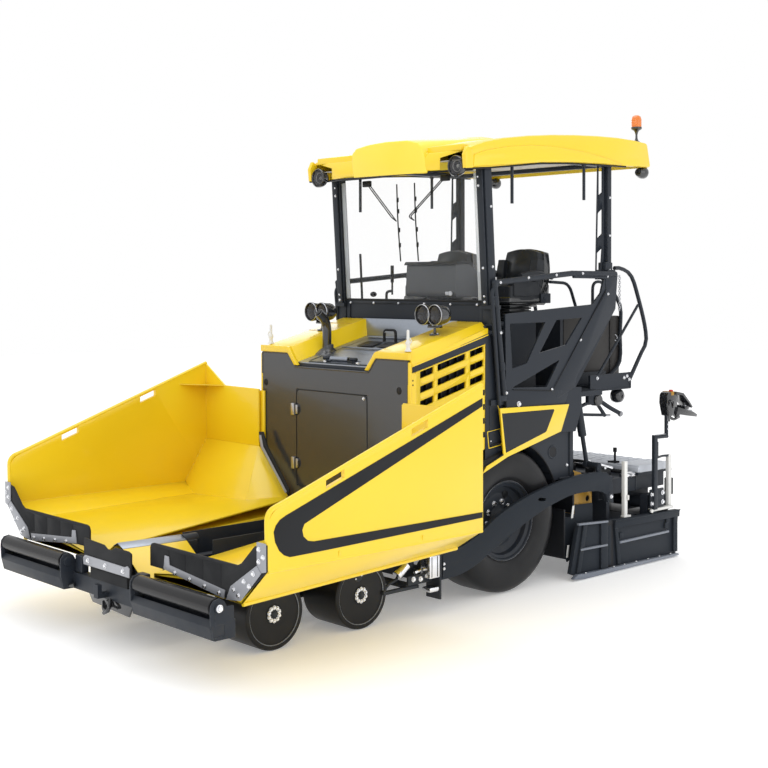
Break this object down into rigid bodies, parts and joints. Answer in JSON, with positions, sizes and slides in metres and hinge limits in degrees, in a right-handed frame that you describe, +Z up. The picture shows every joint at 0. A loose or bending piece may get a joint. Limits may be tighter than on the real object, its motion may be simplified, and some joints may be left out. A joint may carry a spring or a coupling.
{
  "type": "asphalt paver",
  "caption": "Compact wheeled asphalt paver: folding hopper with push rollers, engine hood, roofed operator platform, and a lifting screed with sliding extensions and end gates.",
  "frame": {"origin": "middle of the bounding box's underside, on the ground", "axes": "+X to the machine's left, +Y to the rear (screed), +Z up; the hopper points along -Y"},
  "size_m": [3.216, 5.302, 3.7705],
  "materials": {
    "yellow_paint": "gloss yellow paint",
    "dark_paint": "satin anthracite paint",
    "black_rubber": "matte black rubber",
    "tyre_rubber": "matte black tyre with a painted rim",
    "bare_steel": "brushed bare steel",
    "ochre_paint": "dusty ochre paint",
    "clear_glass": "clear tinted glass",
    "amber_lens": "amber lens on a black foot"
  },
  "bodies": {
    "tractor": {"main_frame": "dark_paint", "push_beam": "dark_paint", "center_flap": "black_rubber", "front_axle": "dark_paint", "rear_axle": "dark_paint", "engine_block": "bare_steel", "hood_shell": "yellow_paint", "front_panel": "dark_paint", "lower_body": "dark_paint", "platform": "dark_paint", "side_frame_left": "dark_paint", "side_frame_right": "dark_paint", "roof_frame": "dark_paint", "canopy": "yellow_paint", "beacon": "amber_lens", "front_wall": "dark_paint", "windscreen": "clear_glass", "console": "dark_paint", "rear_steps_left": "dark_paint", "rear_steps_right": "dark_paint", "exhaust_pipe": "dark_paint", "work_lamp_left": "dark_paint", "work_lamp_right": "dark_paint", "auger_frame": "ochre_paint", "lift_cylinder_left": "dark_paint", "lift_cylinder_right": "dark_paint"},
    "wing_left": {"hopper_wing_left": "yellow_paint", "front_flap_left": "black_rubber"},
    "wing_right": {"hopper_wing_right": "yellow_paint", "front_flap_right": "black_rubber"},
    "roller_left": {"push_roller_left": "dark_paint"},
    "roller_right": {"push_roller_right": "dark_paint"},
    "rear_wheel_left": {"rear_wheel_left": "tyre_rubber"},
    "rear_wheel_right": {"rear_wheel_right": "tyre_rubber"},
    "door": {"access_door": "dark_paint"},
    "lid": {"hood_lid": "bare_steel"},
    "seat_left": {"seat_left": "black_rubber"},
    "seat_right": {"seat_right": "black_rubber"},
    "screed": {"tow_arm_left": "dark_paint", "tow_arm_right": "dark_paint", "screed_body": "dark_paint"},
    "extension_left": {"screed_extension_left": "dark_paint", "end_gate_left": "dark_paint"},
    "extension_right": {"screed_extension_right": "dark_paint", "end_gate_right": "dark_paint"},
    "auger_left": {"auger_left": "bare_steel"},
    "auger_right": {"auger_right": "bare_steel"},
    "lift_rod_left": {"lift_rod_left": "bare_steel"},
    "lift_rod_right": {"lift_rod_right": "bare_steel"},
    "front_knuckle_left": {"front_knuckle_left": "dark_paint"},
    "front_wheel_left": {"front_wheel_left": "tyre_rubber"},
    "front_knuckle_right": {"front_knuckle_right": "dark_paint"},
    "front_wheel_right": {"front_wheel_right": "tyre_rubber"},
    "middle_knuckle_left": {"middle_knuckle_left": "dark_paint"},
    "middle_wheel_left": {"middle_wheel_left": "tyre_rubber"},
    "middle_knuckle_right": {"middle_knuckle_right": "dark_paint"},
    "middle_wheel_right": {"middle_wheel_right": "tyre_rubber"}
  },
  "joints": [
    {"name": "rear_wheel_left_turn", "type": "hinge", "parent": "tractor", "child": "rear_wheel_left", "pos_m": [0.705, 0.384, 0.55], "axis": [1, 0, 0], "continuous": true},
    {"name": "rear_wheel_right_turn", "type": "hinge", "parent": "tractor", "child": "rear_wheel_right", "pos_m": [-0.705, 0.384, 0.55], "axis": [1, 0, 0], "continuous": true},
    {"name": "front_left_steer", "type": "hinge", "parent": "tractor", "child": "front_knuckle_left", "pos_m": [0.47, -1.856, 0.234], "axis": [0, 0, 1], "range_deg": [-20, 20]},
    {"name": "front_left_turn", "type": "hinge", "parent": "front_knuckle_left", "child": "front_wheel_left", "pos_m": [0.72, -1.856, 0.234], "axis": [1, 0, 0], "continuous": true},
    {"name": "front_right_steer", "type": "hinge", "parent": "tractor", "child": "front_knuckle_right", "pos_m": [-0.47, -1.856, 0.234], "axis": [0, 0, 1], "range_deg": [-20, 20]},
    {"name": "front_right_turn", "type": "hinge", "parent": "front_knuckle_right", "child": "front_wheel_right", "pos_m": [-0.72, -1.856, 0.234], "axis": [1, 0, 0], "continuous": true},
    {"name": "middle_left_steer", "type": "hinge", "parent": "tractor", "child": "middle_knuckle_left", "pos_m": [0.47, -1.108, 0.234], "axis": [0, 0, 1], "range_deg": [-13.5, 13.5]},
    {"name": "middle_left_turn", "type": "hinge", "parent": "middle_knuckle_left", "child": "middle_wheel_left", "pos_m": [0.72, -1.108, 0.234], "axis": [1, 0, 0], "continuous": true},
    {"name": "middle_right_steer", "type": "hinge", "parent": "tractor", "child": "middle_knuckle_right", "pos_m": [-0.47, -1.108, 0.234], "axis": [0, 0, 1], "range_deg": [-13.5, 13.5]},
    {"name": "middle_right_turn", "type": "hinge", "parent": "middle_knuckle_right", "child": "middle_wheel_right", "pos_m": [-0.72, -1.108, 0.234], "axis": [1, 0, 0], "continuous": true},
    {"name": "push_roller_left_turn", "type": "hinge", "parent": "tractor", "child": "roller_left", "pos_m": [0.88, -2.596, 0.48], "axis": [1, 0, 0], "continuous": true},
    {"name": "push_roller_right_turn", "type": "hinge", "parent": "tractor", "child": "roller_right", "pos_m": [-0.88, -2.596, 0.48], "axis": [1, 0, 0], "continuous": true},
    {"name": "hopper_wing_left_fold", "type": "hinge", "parent": "tractor", "child": "wing_left", "pos_m": [0.44, -1.516, 0.46], "axis": [0, -1, 0], "range_deg": [0, 43]},
    {"name": "hopper_wing_right_fold", "type": "hinge", "parent": "tractor", "child": "wing_right", "pos_m": [-0.44, -1.516, 0.46], "axis": [0, 1, 0], "range_deg": [0, 43]},
    {"name": "access_door_swing", "type": "hinge", "parent": "tractor", "child": "door", "pos_m": [-0.415, -0.633, 1.17], "axis": [0, 0, 1], "range_deg": [-90, 0]},
    {"name": "hood_lid_lift", "type": "hinge", "parent": "tractor", "child": "lid", "pos_m": [0, -0.526, 1.7829], "axis": [1, 0, 0], "range_deg": [0, 60]},
    {"name": "seat_left_swivel", "type": "hinge", "parent": "tractor", "child": "seat_left", "pos_m": [0.4, 0.944, 2.04], "axis": [0, 0, 1], "range_deg": [-15, 15]},
    {"name": "seat_right_swivel", "type": "hinge", "parent": "tractor", "child": "seat_right", "pos_m": [-0.4, 0.944, 2.04], "axis": [0, 0, 1], "range_deg": [-15, 15]},
    {"name": "screed_lift", "type": "hinge", "parent": "tractor", "child": "screed", "pos_m": [0, -0.486, 0.33], "axis": [1, 0, 0], "range_deg": [0, 6]},
    {"name": "screed_extension_left_slide", "type": "slide", "parent": "screed", "child": "extension_left", "axis": [1, 0, 0], "range_m": [0, 0.85]},
    {"name": "screed_extension_right_slide", "type": "slide", "parent": "screed", "child": "extension_right", "axis": [-1, 0, 0], "range_m": [0, 0.85]},
    {"name": "auger_left_turn", "type": "hinge", "parent": "tractor", "child": "auger_left", "pos_m": [0.45, 1.369, 0.33], "axis": [1, 0, 0], "continuous": true},
    {"name": "auger_right_turn", "type": "hinge", "parent": "tractor", "child": "auger_right", "pos_m": [-0.45, 1.369, 0.33], "axis": [1, 0, 0], "continuous": true},
    {"name": "lift_rod_left_slide", "type": "slide", "parent": "tractor", "child": "lift_rod_left", "axis": [0, -0.23, 0.9732], "range_m": [0, 0.21]},
    {"name": "lift_rod_right_slide", "type": "slide", "parent": "tractor", "child": "lift_rod_right", "axis": [0, -0.23, 0.9732], "range_m": [0, 0.21]}
  ],
  "couplings": [
    {"joint": "front_right_steer", "follows": "front_left_steer", "ratio": 1},
    {"joint": "middle_left_steer", "follows": "front_left_steer", "ratio": 0.6661},
    {"joint": "middle_right_steer", "follows": "front_left_steer", "ratio": 0.6661},
    {"joint": "lift_rod_left_slide", "follows": "screed_lift", "m_per_rad": 1.9603},
    {"joint": "lift_rod_right_slide", "follows": "screed_lift", "m_per_rad": 1.9603}
  ]
}
